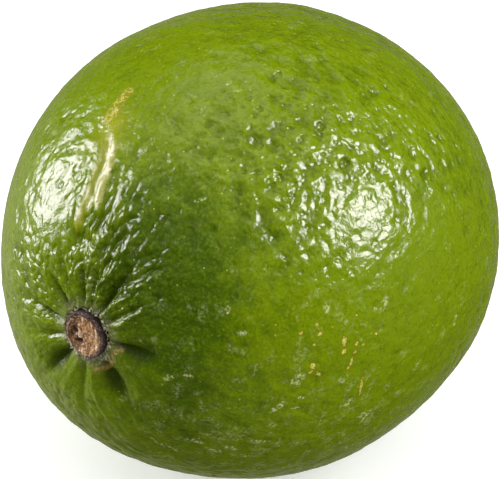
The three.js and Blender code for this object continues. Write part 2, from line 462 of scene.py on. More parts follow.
def peel_layers(directions):
    """Numbers from 0 up for each point of the peel, stored on its mesh for the nodes."""
    from_stem, around = place_of(directions)
    places = flat_place(from_stem, around)
    half_width, line = LINES["off_streak"]
    rubbed = 0.35 + 0.65 * smoothstep(off_line(places, line) / half_width, 0.4, 1.8)
    pits_begin = 0.2 + 0.8 * smoothstep(from_stem, 9, 24)
    wrinkles_begin = smoothstep(from_stem, 7, 10)
    collar_ends = smoothstep(from_stem, 9.5, 6.3)
    creased = crease_depth(from_stem, around) + hills(directions, HOLLOWS)
    collar = sum(amount * bell(turn_from(around, centre), spread) for centre, spread, amount in COLLAR)
    layers = {
        "pitted": layer_at(directions, PITTED, 2) * pits_begin * rubbed,
        "wrinkled": layer_at(directions, WRINKLED, 2) * wrinkles_begin * rubbed,
        "ripe": layer_at(directions, RIPE),
        "yellowed": layer_at(directions, YELLOWED),
        "scuffed": layer_at(directions, SCUFFED),
        "creased": np.clip(creased, 0, 1.5),
        "collar": np.clip(collar, 0, 1) * collar_ends,
    }
    for name, (half_width, line) in LINES.items():
        layers[name] = np.minimum(off_line(places, line) / half_width, FURTHEST_OFF)
    return layers


# -------- the relief of the peel

# How much of the relief is raised in the mesh, and how much more is left to shading, which gives it
# sharper edges than the mesh's faces can have.
RAISED = 0.75
SHADED = 0.8


def from_middle(position):
    return position.vector("SUBTRACT", position, FRUIT_MIDDLE)


def stem_angle(outward):
    """Degrees from the stem end, of a vector from the middle of the fruit."""
    downward = outward.vector("NORMALIZE", outward).part("Y")
    return outward.math("ARCCOSINE", -downward) * math.degrees(1)


def around_angle(outward):
    """Radians about the fruit's axis, from -pi to pi."""
    return outward.math("ARCTAN2", outward.part("Z"), outward.part("X"))


def ring_place(outward, turns, rings):
    """A place whose noise is drawn out along the lines that run from the stem.

    It has turns units round the stem, and rings units for each doubling of the distance from it.
    """
    turn = around_angle(outward)
    doublings = outward.math("LOGARITHM", stem_angle(outward), 2.0)
    across, upward = turn.math("COSINE", turn) * turns, turn.math("SINE", turn) * turns
    return outward.node("ShaderNodeCombineXYZ", None, {0: across, 1: upward, 2: doublings * rings})


def gland_pits(position):
    """1 at the bottom of a deep gland pit, 0 on the smooth peel between. Some glands have no pit."""
    place = position.jittered(0.9, 1.6)
    depth = place.cells(1.7, "F1", "Color").part("X")
    return place.cells(1.7).bell(0.31) * (0.35 + depth * depth * depth * 1.5)


def small_pits(position):
    return position.cells(0.7, Randomness=1.0).bell(0.4)


def uneven(position):
    """The swelling of the peel between its glands, in millimetres, about 0 on average."""
    return position.ripple(0.55, 0.42) + position.ripple(0.15, 0.3)


def wrinkles(outward):
    """The beaded ridges that run out from the stem, in millimetres."""
    beads = ring_place(outward, 16.0, 6.5).jittered(0.35, 2.2).cells(1.0, "SMOOTH_F1", Smoothness=0.3)
    return ring_place(outward, 6.5, 1.3).ripple(1.0, 0.5, 2.0) - beads * beads * 0.3


def peel_relief(position, pitted, wrinkled, settings):
    """Height of the fine relief in millimetres, at a position in millimetres."""
    to_ground = position.vector("LENGTH", position, output=1)
    glands = gland_pits(position) + small_pits(position) * 0.45
    skin = uneven(position) - glands * settings.gland_depth
    return (skin * pitted + wrinkles(from_middle(position)) * wrinkled) * to_ground.step(5.0, 9.0)


def micro_grain(position):
    """The finest wrinkles of the skin, in millimetres. They are finer than the mesh and only shade it."""
    furrow = position.noise(1.3) - 0.5
    rounded = position.ripple(2.0, 0.04, 2.0, 0.6) + position.ripple(5.0, 0.016)
    return rounded + furrow.math("ABSOLUTE", furrow) * 0.07


# -------- settings

def colour_setting(name, description, default):
    return bpy.props.FloatVectorProperty(
        name=name, description=description, default=default, subtype="COLOR", min=0, max=1)


class LimePeelSettings(bpy.types.PropertyGroup):
    """Sizes and colours of the peel."""

    facets: bpy.props.IntProperty(
        name="Facets", description="Quads along each edge of the cube that the peel is spread from",
        default=128, min=16, max=128)
    gland_depth: bpy.props.FloatProperty(
        name="Gland depth", description="Depth of the oil glands' pits, in millimetres",
        default=0.15, min=0, max=0.3)
    # Deep green is also used, darker, to paint shade into the creases and pits.
    deep_green: colour_setting(
        "Deep green", "Peel near the stem and in the creases", (0.055, 0.105, 0.001))
    yellow_green: colour_setting("Yellow green", "Peel on the riper side", (0.168, 0.245, 0.001))


class LimeButtonSettings(bpy.types.PropertyGroup):
    """Sizes and colours of the stem button."""

    sides: bpy.props.IntProperty(
        name="Sides", description="Corners round the button", default=150, min=24, max=300)
    wood_pale: colour_setting("Pale wood", "Fibres of the broken stem", (0.76, 0.46, 0.21))
    wood_dark: colour_setting("Dark wood", "Wood between the fibres", (0.26, 0.1, 0.025))
    # Pale crumbs of pith, also painted as a highlight on the highest places of the face.
    wood_crumb_and_highlight: colour_setting("Crumbs", "Specks of pith on the wood", (0.85, 0.66, 0.45))
    bark: colour_setting("Bark", "The dark ring of bark", (0.055, 0.025, 0.016))


class LimeCalyxSettings(bpy.types.PropertyGroup):
    """The dried scales round the button."""

    seed: bpy.props.IntProperty(name="Seed", description="Changes the places of the scales", default=4)
    calyx_pale: colour_setting("Pale", "Dry edges of the scales", (0.6, 0.57, 0.38))
    calyx_dark: colour_setting("Dark", "The scales' green parts", (0.17, 0.19, 0.07))


class LimeStageSettings(bpy.types.PropertyGroup):
    """The floor, the lamps and the camera."""

    floor_colour: colour_setting("Floor", "Colour of the floor", (0.8, 0.8, 0.8))
    panel_radiance: bpy.props.FloatProperty(
        name="Overhead panel", description="Brightness of the panel above", default=1.1, min=0)


# -------- the peel

# How far the peel's corners are drawn to the stem end, as a share, and over how many degrees.
CROWDING = {"share": 0.38, "spread": 55}

# The peel sinks out of sight under the button: how deep, and the angles from the stem where that
# begins and ends.
SOCKET = {"depth": 1.6, "rim": 6.5, "foot": 4.9}


def cube_sphere(count):
    """Unit vectors and quads of a cube spread over a sphere, with count quads along each edge."""
    steps = np.arange(count + 1)
    u, v = np.meshgrid(steps, steps, indexing="ij")
    low, high = np.zeros_like(u), np.full_like(u, count)
    sides = []
    for axis in range(3):
        for end, flip in ((low, True), (high, False)):
            first, second = (v, u) if flip else (u, v)
            corner = [None] * 3
            corner[axis], corner[(axis + 1) % 3], corner[(axis + 2) % 3] = end, first, second
            sides.append(np.stack(corner, -1))
    lattice = np.concatenate([side.reshape(-1, 3) for side in sides])
    keys = lattice @ np.array([1, count + 1, (count + 1) ** 2])
    _, first_use, index = np.unique(keys, return_index=True, return_inverse=True)
    spread = np.tan(np.pi / 4 * (2 * lattice[first_use] / count - 1))
    directions = spread / np.linalg.norm(spread, axis=1)[:, None]
    quads = []
    for grid in index.reshape(len(sides), count + 1, count + 1):
        corners = [grid[:-1, :-1], grid[1:, :-1], grid[1:, 1:], grid[:-1, 1:]]
        quads.append(np.stack(corners, -1).reshape(-1, 4))
    return directions, np.concatenate(quads)


def crowd_to_stem(directions):
    """Draws the directions to the stem end, where the peel has the finest creases."""
    from_stem, around = place_of(directions)
    drawn = CROWDING["share"] * np.degrees(np.sin(np.radians(from_stem)))
    return direction(from_stem - drawn * bell(from_stem, CROWDING["spread"]), around)


def new_mesh_object(name, points_mm, faces):
    mesh = bpy.data.meshes.new(name)
    mesh.from_pydata((points_mm * METRES_PER_MM).tolist(), [], [tuple(face) for face in faces])
    mesh.validate()
    mesh.shade_smooth()
    piece = bpy.data.objects.new(name, mesh)
    bpy.context.scene.collection.objects.link(piece)
    return piece


def add_relief(piece, settings):
    """Raises the peel's fine relief along its normals, and applies it to the mesh."""
    tree = bpy.data.node_groups.new("Peel relief", "GeometryNodeTree")
    for way in ("INPUT", "OUTPUT"):
        tree.interface.new_socket("Geometry", in_out=way, socket_type="NodeSocketGeometry")
    geometry = add_node(tree, "NodeGroupInput")
    position = add_node(tree, "GeometryNodeInputPosition").scaled(1 / METRES_PER_MM)
    normal = add_node(tree, "GeometryNodeInputNormal")
    layers = [
        normal.node("GeometryNodeInputNamedAttribute", {"data_type": "FLOAT"}, {"Name": name}, "Attribute")
        for name in ("pitted", "wrinkled")
    ]
    offset = normal.scaled(peel_relief(position, *layers, settings) * METRES_PER_MM * RAISED)
    moved = geometry.node("GeometryNodeSetPosition", None, {"Geometry": geometry, "Offset": offset})
    add_node(tree, "NodeGroupOutput", None, {"Geometry": moved})
    modifier = piece.modifiers.new("Relief", "NODES")
    modifier.node_group = tree
    evaluated = piece.evaluated_get(bpy.context.evaluated_depsgraph_get())
    shaped = bpy.data.meshes.new_from_object(evaluated)
    piece.modifiers.clear()
    piece.data = shaped
    points = np.empty(len(shaped.vertices) * 3, np.float32)
    shaped.vertices.foreach_get("co", points)
    points[2::3] = np.maximum(points[2::3], 0)
    shaped.vertices.foreach_set("co", points)
    shaped.shade_smooth()
    shaped.update()


# Scars on the peel: from stem, around, length and width in millimetres, and turn in degrees from the line
# that runs away from the stem.
SCARS = (
    (61.6, 1.1, 0.85, 0.4, 90),
    (61.5, -1.7, 0.45, 0.36, 100),
    (64.8, -0.3, 0.35, 0.25, 70),
    (64.5, -2.7, 0.42, 0.26, 75),
    (63.7, -5.4, 0.75, 0.24, 80),
    (63.1, -7.2, 0.25, 0.25, 0),
    (53.9, -4.7, 0.6, 0.42, 90),
    (53.5, -6.6, 0.5, 0.28, 50),
    (55.5, -7.6, 0.62, 0.28, -55),
    (67.7, -14.0, 1.7, 0.3, 95),
    (51.3, 6.6, 0.34, 0.3, 0),
    (55.1, 8.1, 0.24, 0.22, 0),
    (55.6, 5.1, 0.42, 0.34, -60),
    (54.1, 2.2, 0.26, 0.22, 0),
    (66.6, -1.1, 0.25, 0.2, 0),
    (65.1, 7.5, 0.22, 0.2, 0),
    (70.2, 0.7, 0.3, 0.18, 80),
    (107.1, 71.7, 0.3, 0.15, 0),
)

# Patches of pale scuffing, given as the scars are.
SCUFFS = (
    (62.1, -10.4, 1.0, 0.7, 60),
    (50.7, -8.9, 1.1, 0.9, 40),
    (52.5, -15.5, 0.9, 0.25, 0),
    (52.0, -19.5, 0.8, 0.2, 10),
    (71.5, -24.4, 1.0, 0.6, 60),
    (84.7, -13.4, 1.0, 0.6, 70),
    (97.6, -6.0, 1.0, 0.5, 80),
    (43.2, -43.3, 1.4, 0.5, 20),
    (48.0, -36.0, 1.6, 0.4, 15),
    (38.0, 10.5, 0.7, 0.5, 0),
    (36.1, 20.3, 0.6, 0.4, 60),
    (58.0, 12.0, 0.9, 0.6, 80),
    (73.0, 8.0, 1.2, 0.7, 60),
    (31.3, -62.5, 1.7, 0.35, 5),
    (34.7, -60.0, 1.8, 0.3, 0),
    (35.2, -47.5, 1.6, 0.5, 20),
    (41.1, -48.0, 1.8, 0.4, 10),
    (43.6, -43.5, 1.4, 0.5, 0),
    (48.1, -46.0, 1.3, 0.3, 0),
    (65.5, -19.0, 1.5, 0.6, 65),
    (72.8, -25.5, 1.7, 0.5, 75),
    (47.5, -19.5, 1.5, 0.5, 55),
    (22.1, -14.0, 1.1, 0.5, 40),
    (26.0, -10.0, 0.8, 0.4, 10),
    (50.9, -8.0, 1.0, 0.6, 60),
    (69.9, 77.8, 0.8, 0.4, -30),
    (69.2, 74.8, 0.9, 0.35, -40),
    (43.2, 58.8, 1.0, 0.3, -30),
    (58.0, 41.0, 0.5, 0.3, 40),
)


# A mark's edge is this share of its length and width from its middle. It reaches this deep, in
# millimetres.
MARK_SHARE = 0.6
MARK_DEPTH = 0.8


def off_marks(position, marks):
    """How far a position is from the nearest mark's middle: 1 is at the mark's edge."""
    nearest = FURTHEST_OFF
    for from_stem, around, length, width, turn in marks:
        outward, radius = peel_place(from_stem, around)
        middle = outward * radius + FRUIT_MIDDLE
        level = direction(90, around + 90)
        slope = np.cross(level, outward)
        tilt = math.radians(turn)
        along = slope * math.cos(tilt) + level * math.sin(tilt)
        axes = Matrix((along, np.cross(outward, along), outward)).transposed()
        inputs = {
            "Vector": position,
            "Location": middle,
            "Rotation": axes.to_euler(),
            "Scale": (length * MARK_SHARE, width * MARK_SHARE, MARK_DEPTH),
        }
        place = position.node("ShaderNodeMapping", {"vector_type": "TEXTURE"}, inputs)
        nearest = position.math("MINIMUM", place.vector("LENGTH", place, output=1), nearest)
    return nearest


# The skin's colours, besides the two greens of the settings. The pale dots are partly painted glints, and
# the cream along the rub's raised edge is a painted highlight.
SKIN = {
    "speck_and_glint": (0.46, 0.54, 0.09),
    "yellowed": (0.38, 0.37, 0.012),
    "rub": (0.25, 0.275, 0.001),
    "rub edge highlight": (0.58, 0.54, 0.19),
    "scribble ground": (0.35, 0.28, 0.03),
    "scribble": (0.62, 0.5, 0.12),
    "blossom scar": (0.26, 0.24, 0.02),
    "tip dark": (0.09, 0.045, 0.015),
    "tip pale": (0.3, 0.2, 0.08),
    "scar rim": (0.16, 0.1, 0.003),
    "scar dark": (0.5, 0.42, 0.04),
    "scar pale": (0.64, 0.62, 0.15),
    "scuff": (0.66, 0.68, 0.32),
    "collar": (0.24, 0.2, 0.06),
    "collar fleck": (0.5, 0.46, 0.3),
    "cork dark": (0.26, 0.13, 0.008),
    "cork pale": (0.55, 0.42, 0.14),
}


def tinted(colour, factor):
    return tuple(factor * channel for channel in colour)


def green_skin(position, relief, layer, settings):
    """The green of the peel: riper places, clouds and mottling, pale dots that are partly painted glints,
    and painted shade in the pits and creases.
    """
    deep, bright = tuple(settings.deep_green), tuple(settings.yellow_green)
    clouds = position.ripple(0.12, 0.6, 3.0, 0.55) + position.ripple(0.9, 0.9, 3.0, 0.6)
    clouds = clouds + position.ripple(0.38, 0.8)
    colour = mix((layer["ripe"] + clouds).step(-0.05, 1.05), deep, bright)
    fine = position.noise(3.2, 2.0, 0.6)
    colour = mix(fine.step(0.45, 0.75) * 0.35, colour, tinted(bright, 1.4))
    colour = mix(fine.step(0.5, 0.25) * 0.35, colour, tinted(deep, 0.8))
    # Painted shade: the pits and hollows of the relief are darkened towards deep green.
    colour = mix(relief.step(0.0, -0.22) * 0.4, colour, tinted(deep, 0.5))
    # Painted shade: the creases round the stem end are darkened towards deep green.
    colour = mix(layer["creased"].step(0.05, 1.0) * 0.85, colour, tinted(deep, 0.28))
    # Pale dots on the peel, partly real and partly painted glints.
    strength = position.cells(0.95, "F1", "Color", Randomness=1.0).part("X")
    specks_and_glints = (position.cells(0.95, Randomness=1.0) + fine * 0.1).step(0.18, 0.11)
    return mix(specks_and_glints * strength.step(0.35, 1.0) * 0.8, colour, SKIN["speck_and_glint"])


def marked_skin(position, colour, layer):
    """Adds the healed rub with a painted highlight along its raised edge, the scars and the corky collar
    to the green.
    """
    rag = position.noise(1.5, 4.0, 0.65) - 0.5
    fine_rag = position.noise(4.0, 2.0, 0.6) - 0.5
    colour = mix(layer["yellowed"] * 0.6, colour, SKIN["yellowed"])
    colour = mix((layer["off_streak"] + rag * 2.0).step(1.6, 0.6) * 0.95, colour, SKIN["rub"])
    # Painted highlight: a pale cream line along the rub's raised edge.
    colour = mix((layer["off_edge"] + rag * 3.0).step(1.6, 0.4) * 0.65, colour, SKIN["rub edge highlight"])

    off_scribble = layer["off_scribble"] + fine_rag
    scribbles = rag.math("ABSOLUTE", rag).step(0.045, 0.02) * off_scribble.step(1.2, 0.7)
    colour = mix(off_scribble.step(1.6, 0.6) * 0.3, colour, SKIN["scribble ground"])
    colour = mix(scribbles * 0.9, colour, SKIN["scribble"])

    off_tip = 180 - stem_angle(from_middle(position)) + fine_rag * 1.2 + rag * 1.6
    colour = mix(off_tip.step(3.6, 1.8) * 0.5, colour, SKIN["blossom scar"])
    tip = mix(fine_rag.step(-0.1, 0.1), SKIN["tip dark"], SKIN["tip pale"])
    colour = mix(off_tip.step(1.9, 1.1) * 0.9, colour, tip)

    scars = off_marks(position, SCARS) + fine_rag * 2.4 + rag * 1.2
    colour = mix(scars.step(2.0, 1.0) * 0.55, colour, SKIN["scar rim"])
    healed = mix(position.noise(3.0, 1.0).step(0.42, 0.56), SKIN["scar dark"], SKIN["scar pale"])
    colour = mix(scars.step(1.3, 0.7) * 0.95, colour, healed)

    patches = (off_marks(position, SCUFFS) + rag * 2.4).step(1.5, 0.5)
    cloudy = (position.noise(0.5, 2.0, 0.6) + layer["scuffed"] * 0.12).step(0.6, 0.75) * 0.3
    speckle = position.noise(2.8, 3.0, 0.7).step(0.44, 0.62)
    colour = mix(patches.math("MAXIMUM", patches, cloudy) * speckle * 0.85, colour, SKIN["scuff"])

    worn = position.noise(1.6, 4.0, 0.65)
    colour = mix(layer["collar"] * worn.step(0.35, 0.6) * 0.75, colour, SKIN["collar"])
    colour = mix(layer["collar"] * fine_rag.step(0.02, 0.14) * 0.7, colour, SKIN["collar fleck"])
    cork = mix(fine_rag.step(-0.1, 0.1), SKIN["cork dark"], SKIN["cork pale"])
    return mix((layer["off_cork"] + fine_rag * 5 + rag * 4).step(1.5, 0.7) * 0.8, colour, cork)


SKIN_IOR = 1.45
PEEL_LAYERS = ("pitted", "wrinkled", "ripe", "yellowed", "scuffed", "creased", "collar", *LINES)


def peel_material(settings):
    material, shader, position = new_material("Lime peel")
    layer = {
        name: position.node("ShaderNodeAttribute", {"attribute_name": name}, None, "Fac")
        for name in PEEL_LAYERS
    }
    angle = stem_angle(from_middle(position))
    relief = peel_relief(position, layer["pitted"], layer["wrinkled"], settings)
    colour = marked_skin(position, green_skin(position, relief, layer, settings), layer)
    dull = layer["off_streak"].step(1.4, 0.7) * 0.1 + angle.step(11, 7.5) * 0.3
    roughness = 0.205 + position.noise(0.8, 3.0, 0.6).step(0.4, 0.75) * 0.08 + dull
    normal = (relief * SHADED + micro_grain(position)).bump()
    set_inputs(shader, {"Base Color": colour, "Roughness": roughness, "Normal": normal, "IOR": SKIN_IOR})
    return material


class LIME_OT_peel(bpy.types.Operator):
    """Make the fruit with its pitted peel and creased stem end"""

    bl_idname = "lime.peel"
    bl_label = "Peel"

    def execute(self, context):
        settings = context.scene.lime_peel
        directions, quads = cube_sphere(settings.facets)
        directions = crowd_to_stem(directions)
        from_stem, _ = place_of(directions)
        radius = peel_radius(directions) + rib_height(directions) - hills(directions, DENTS)
        radius -= SOCKET["depth"] * smoothstep(from_stem, SOCKET["rim"], SOCKET["foot"])
        points = directions * radius[:, None] + FRUIT_MIDDLE
        points[:, 2] = np.maximum(points[:, 2], 0)
        piece = new_mesh_object("lime_fruit", points, quads)
        for name, values in peel_layers(directions).items():
            layer = piece.data.attributes.new(name, "FLOAT", "POINT")
            layer.data.foreach_set("value", values)
        add_relief(piece, settings)
        piece.data.materials.append(peel_material(settings))
        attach(piece, "root")
        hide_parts("fruit")
        return {"FINISHED"}


# -------- the button

# On the button a place is given by x and z, from its middle, and depth is down into it.
WOOD = {"x": 0.02, "z": -0.2, "radius": 2.2, "sunk": 0.14, "edge": 0.12}
GROOVE = {"depth": 0.16, "width": 0.13}
RIM_UNEVEN = 0.14

# Shares by which the button's outline departs from a circle, the part of it that the face reaches, and
# how far the wall spreads and is rough, in millimetres.
OUTLINE = {"oval": 0.02, "oval_turn": 0.8, "lobes": 0.012}
FACE = {"reach": 0.985, "crowding": 0.9, "edge_drop": 0.03}
WALL = {"flare": 0.1, "rough": 0.05, "rings": 10}

# The wood's colour is a little off its form: the middle of it, and where it turns to bark.
HEART_X = -0.16
BARK_FROM, BARK_TO = 2.15, 2.36

# x, z, depth, spread: where the broken sap vessels and the pith left holes, and where splinters stand up.
HOLES = (
    (-0.8, -0.9, 0.5, 0.45),
    (-1.4, -0.05, 0.4, 0.4),
    (-1.85, -0.6, 0.3, 0.35),
    (-1.2, 0.8, 0.15, 0.3),
    (0.9, -1.05, 0.15, 0.25),
    (0.3, -0.6, 0.1, 0.2),
    (-0.9, 0.6, -0.18, 0.22),
    (-0.7, 0.2, -0.2, 0.2),
    (-0.5, -0.2, -0.16, 0.2),
    (-1.5, -0.95, -0.15, 0.2),
)


def noise_at(points, scale, seed=0.0):
    """Blender's noise at rows of points in millimetres, from -1 to 1."""
    return np.array([noise.noise(Vector(p) * scale + Vector((seed, seed, seed))) for p in points])


def ring_grid(rings, sides):
    """Quads between rings of corners, with fans to a first and a last corner."""
    faces = []

    def corner(ring, side):
        return 1 + ring * sides + side % sides

    last = 1 + rings * sides
    for side in range(sides):
        faces.append((0, corner(0, side), corner(0, side + 1)))
        for ring in range(rings - 1):
            upper = (corner(ring, side + 1), corner(ring, side))
            faces.append((*upper, corner(ring + 1, side), corner(ring + 1, side + 1)))
        faces.append((last, corner(rings - 1, side + 1), corner(rings - 1, side)))
    return faces


def broken_face(x, z):
    """Height of the button's face over the dimple's floor."""
    from_wood = np.hypot(x - WOOD["x"], z - WOOD["z"])
    flat = np.stack([x, np.zeros_like(x), z], -1)
    ragged_x = x + noise_at(flat, 1.6, 60.0) * 0.5
    ragged_z = z + noise_at(flat, 1.6, 70.0) * 0.5
    wood = smoothstep(from_wood, WOOD["radius"] + WOOD["edge"], WOOD["radius"] - WOOD["edge"])
    height = BUTTON_HEIGHT - WOOD["sunk"] * wood
    groove = GROOVE["depth"] * bell(from_wood - WOOD["radius"], GROOVE["width"])
    height -= groove * (0.5 + 0.5 * noise_at(flat, 0.6))
    along = flat * np.array([1.0, 1.0, 0.45])
    fibres = noise_at(along, 2.6, 3.0) * 0.15 + noise_at(flat, 5.0, 9.0) * 0.08
    height += fibres * wood + noise_at(flat, 0.8, 5.0) * 0.16
    for hole_x, hole_z, depth, spread in HOLES:
        height -= depth * bell(np.hypot(ragged_x - hole_x, ragged_z - hole_z), spread)
    bark = (1 - wood) * noise_at(flat, 2.2, 20.0) * RIM_UNEVEN
    return height + bark


def button_points(sides, face_rings, wall_rings):
    """Corners of the button: a middle one, rings over the face, down the wall and under the foot."""
    turn = np.arange(sides) * 2 * np.pi / sides
    ovalness = OUTLINE["oval"] * np.cos(2 * turn + OUTLINE["oval_turn"])
    edge = BUTTON_RADIUS * (1 + ovalness + OUTLINE["lobes"] * np.cos(5 * turn))
    x, z = [np.zeros(1)], [np.zeros(1)]
    height = [broken_face(x[0], z[0])]
    for ring in range(1, face_rings + 1):
        radius = edge * (ring / face_rings) ** FACE["crowding"] * FACE["reach"]
        x.append(radius * np.cos(turn))
        z.append(radius * np.sin(turn))
        height.append(broken_face(x[-1], z[-1]))
    top = height[-1] - FACE["edge_drop"]
    for ring in range(wall_rings + 1):
        share = ring / wall_rings
        level = top + (-BUTTON_SUNK - top) * share
        rough = noise_at(np.stack([edge * np.cos(turn), level, edge * np.sin(turn)], -1), 2.5, 40.0)
        radius = edge + WALL["flare"] * share + WALL["rough"] * rough
        x.append(radius * np.cos(turn))
        z.append(radius * np.sin(turn))
        height.append(level)
    x.append(np.zeros(1))
    z.append(np.zeros(1))
    height.append(np.full(1, -BUTTON_SUNK))
    out = DIMPLE_FLOOR + np.concatenate(height)
    return np.stack([np.concatenate(x), -out, np.concatenate(z) + AXIS_HEIGHT], -1)


# The button's colours, besides those of its settings. Shade is painted shade on the left side of the wood,
# and the nearly black colours paint shade into the deepest places of the face and the low groove round it.
STEM = {
    "grime": (0.3, 0.11, 0.018),
    "shade": (0.11, 0.042, 0.008),
    "stain": (0.14, 0.05, 0.01),
    "ring": (0.62, 0.4, 0.22),
    "hole shade": (0.05, 0.018, 0.004),
    "bark flake": (0.14, 0.085, 0.07),
    "bark crumb": (0.38, 0.29, 0.24),
    "bark side": (0.14, 0.07, 0.035),
    "bark groove shade": (0.01, 0.006, 0.005),
}


def button_material(settings):
    material, shader, position = new_material("Stem wood")
    crumb = tuple(settings.wood_crumb_and_highlight)
    x, z = position.part("X"), position.part("Z") - AXIS_HEIGHT
    height = -position.part("Y") - DIMPLE_FLOOR
    offset = position.node("ShaderNodeCombineXYZ", None, {0: x - HEART_X, 1: z - WOOD["z"]})
    from_wood = offset.vector("LENGTH", offset, output=1) + position.ripple(1.6, 0.9, 4.0, 0.65)

    along = position.vector("MULTIPLY", position, (1.0, 1.0, 0.4))
    fibres = along.noise(2.4, 4.0, 0.65)
    grime = position.noise(1.1, 4.0, 0.65)
    wood = mix(fibres.step(0.43, 0.58), tuple(settings.wood_dark), tuple(settings.wood_pale))
    wood = mix(grime.step(0.5, 0.62) * 0.75, wood, STEM["grime"])
    shade = position.noise(0.75, 3.0, 0.6)
    wood = mix((x + (shade - 0.5) * 4).step(-0.3, -1.2) * 0.8, wood, STEM["shade"])
    wood = mix(shade.step(0.42, 0.34) * 0.7, wood, STEM["stain"])
    rings = (from_wood * 3.2).math("FRACT", from_wood * 3.2).step(0.35, 0.6) * (x - z).step(1.2, 2.4)
    wood = mix(rings * 0.6, wood, STEM["ring"])
    # Painted highlight: the highest places of the face take the pale crumb colour.
    wood = mix(height.step(BUTTON_HEIGHT - 0.12, BUTTON_HEIGHT) * 0.7, wood, crumb)
    wood = mix(position.noise(5.0).step(0.56, 0.66) * 0.6, wood, crumb)
    # Painted shade: the deepest places of the face, in its pits, turn nearly black.
    wood = mix(height.step(BUTTON_HEIGHT - 0.25, BUTTON_HEIGHT - 0.5) * 0.92, wood, STEM["hole shade"])

    flakes = position.noise(3.5, 3.0, 0.6)
    bark = mix(flakes.step(0.5, 0.66) * 0.8, tuple(settings.bark), STEM["bark flake"])
    crumbs = position.noise(7.0, 1.0).step(0.6, 0.68) * z.step(0.6, 1.6)
    bark = mix(crumbs * 0.8, bark, STEM["bark crumb"])
    bark = mix(x.step(-1.0, -2.0) * 0.6, bark, STEM["bark side"])
    # Painted shade: the low groove between the wood and the bark turns nearly black.
    bark = mix(height.step(BUTTON_HEIGHT - 0.15, BUTTON_HEIGHT - 0.4) * 0.8, bark, STEM["bark groove shade"])

    colour = mix(from_wood.step(BARK_FROM, BARK_TO), wood, bark)
    normal = (fibres * 0.12 + position.noise(6.0, 3.0, 0.6) * 0.05).bump()
    set_inputs(shader, {"Base Color": colour, "Roughness": 0.7 + grime * 0.3, "Normal": normal})
    return material


class LIME_OT_button(bpy.types.Operator):
    """Make the dry woody button at the stem end"""

    bl_idname = "lime.button"
    bl_label = "Stem button"

    def execute(self, context):
        settings = context.scene.lime_button
        face_rings = settings.sides // 3
        points = button_points(settings.sides, face_rings, WALL["rings"])
        faces = ring_grid(face_rings + WALL["rings"] + 1, settings.sides)
        piece = new_mesh_object("lime_stem_button", points, faces)
        piece.data.materials.append(button_material(settings))
        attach(piece, "root")
        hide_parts("stem_button")
        return {"FINISHED"}


# -------- the dried calyx

# Where the scales stand round the button: from and to around, how many, and their longest length.
SCALE_ROWS = (
    (195, 330, 60, 0.8),
    (215, 310, 60, 0.5),
    (30, 85, 16, 0.9),
    (85, 195, 20, 0.45),
    (330, 390, 12, 0.5),
)

# What each scale is drawn from: the angle of its foot from the stem, how far it swings to a side in
# degrees, its share of the longest length, and its sizes in millimetres.
SCALE = {
    "from_stem": (5.3, 6.3),
    "swing": (-14, 14),
    "share": (0.35, 1.0),
    "width": (0.16, 0.4),
    "thickness": (0.05, 0.1),
    "tilt": (0.0, 0.3),
}

# How deep a scale's foot is sunk in the peel, and how many degrees ahead along the peel it is aimed.
FOOT_SUNK = 0.05
DEGREES_AHEAD = 3

CALYX_ROUGHNESS = 0.8


def calyx_scale(along, up, length, width, thickness, tilt):
    """A pointed flake of dry calyx, as a closed solid of 12 corners, with its foot at the origin."""
    rows = []
    for share, part in ((0.0, 1.0), (0.55, 0.8), (1.0, 0.25)):
        for side in (-1, 1):
            for face in (-1, 1):
                lift = face * thickness / 2 + share * share * tilt
                rows.append((share * length, side * part * width / 2, lift))
    local = np.array(rows)
    faces = []
    for row in (0, 4):
        faces += [(row, row + 4, row + 6, row + 2), (row + 1, row + 3, row + 7, row + 5)]
        faces += [(row, row + 1, row + 5, row + 4), (row + 2, row + 6, row + 7, row + 3)]
    faces += [(0, 2, 3, 1), (8, 9, 11, 10)]
    across = np.cross(up, along)
    return local[:, :1] * along + local[:, 1:2] * across + local[:, 2:] * up, faces


def calyx_material(settings):
    material, shader, position = new_material("Dry calyx")
    shade = position.noise(2.2, 3.0, 0.6)
    colour = mix(shade.step(0.35, 0.68), tuple(settings.calyx_dark), tuple(settings.calyx_pale))
    normal = (position.noise(6.0, 3.0, 0.6) * 0.06).bump()
    set_inputs(shader, {"Base Color": colour, "Roughness": CALYX_ROUGHNESS, "Normal": normal})
    return material


class LIME_OT_calyx(bpy.types.Operator):
    """Make the ragged scales of the dried calyx round the button"""

    bl_idname = "lime.calyx"
    bl_label = "Calyx scales"

    def execute(self, context):
        settings = context.scene.lime_calyx
        draw = random.Random(settings.seed)
        points, faces = [], []
        for start, end, count, longest in SCALE_ROWS:
            for index in range(count):
                around = start + (end - start) * (index + draw.random()) / count
                from_stem = draw.uniform(*SCALE["from_stem"])
                foot_out, radius = peel_place(from_stem, around)
                foot = foot_out * (radius - FOOT_SUNK)
                swing = draw.uniform(*SCALE["swing"])
                further, radius = peel_place(from_stem + DEGREES_AHEAD, around + swing)
                ahead = further * radius - foot
                along = ahead / np.linalg.norm(ahead)
                up = foot_out - along * (foot_out @ along)
                up /= np.linalg.norm(up)
                length = longest * draw.uniform(*SCALE["share"])
                sizes = [draw.uniform(*SCALE[name]) for name in ("width", "thickness", "tilt")]
                corners, quads = calyx_scale(along, up, length, *sizes)
                faces += [tuple(len(points) + corner for corner in quad) for quad in quads]
                points += list(corners + foot + FRUIT_MIDDLE)
        piece = new_mesh_object("lime_calyx_scales", np.array(points), faces)
        piece.data.materials.append(calyx_material(settings))
        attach(piece, "root")
        return {"FINISHED"}


# -------- the stage

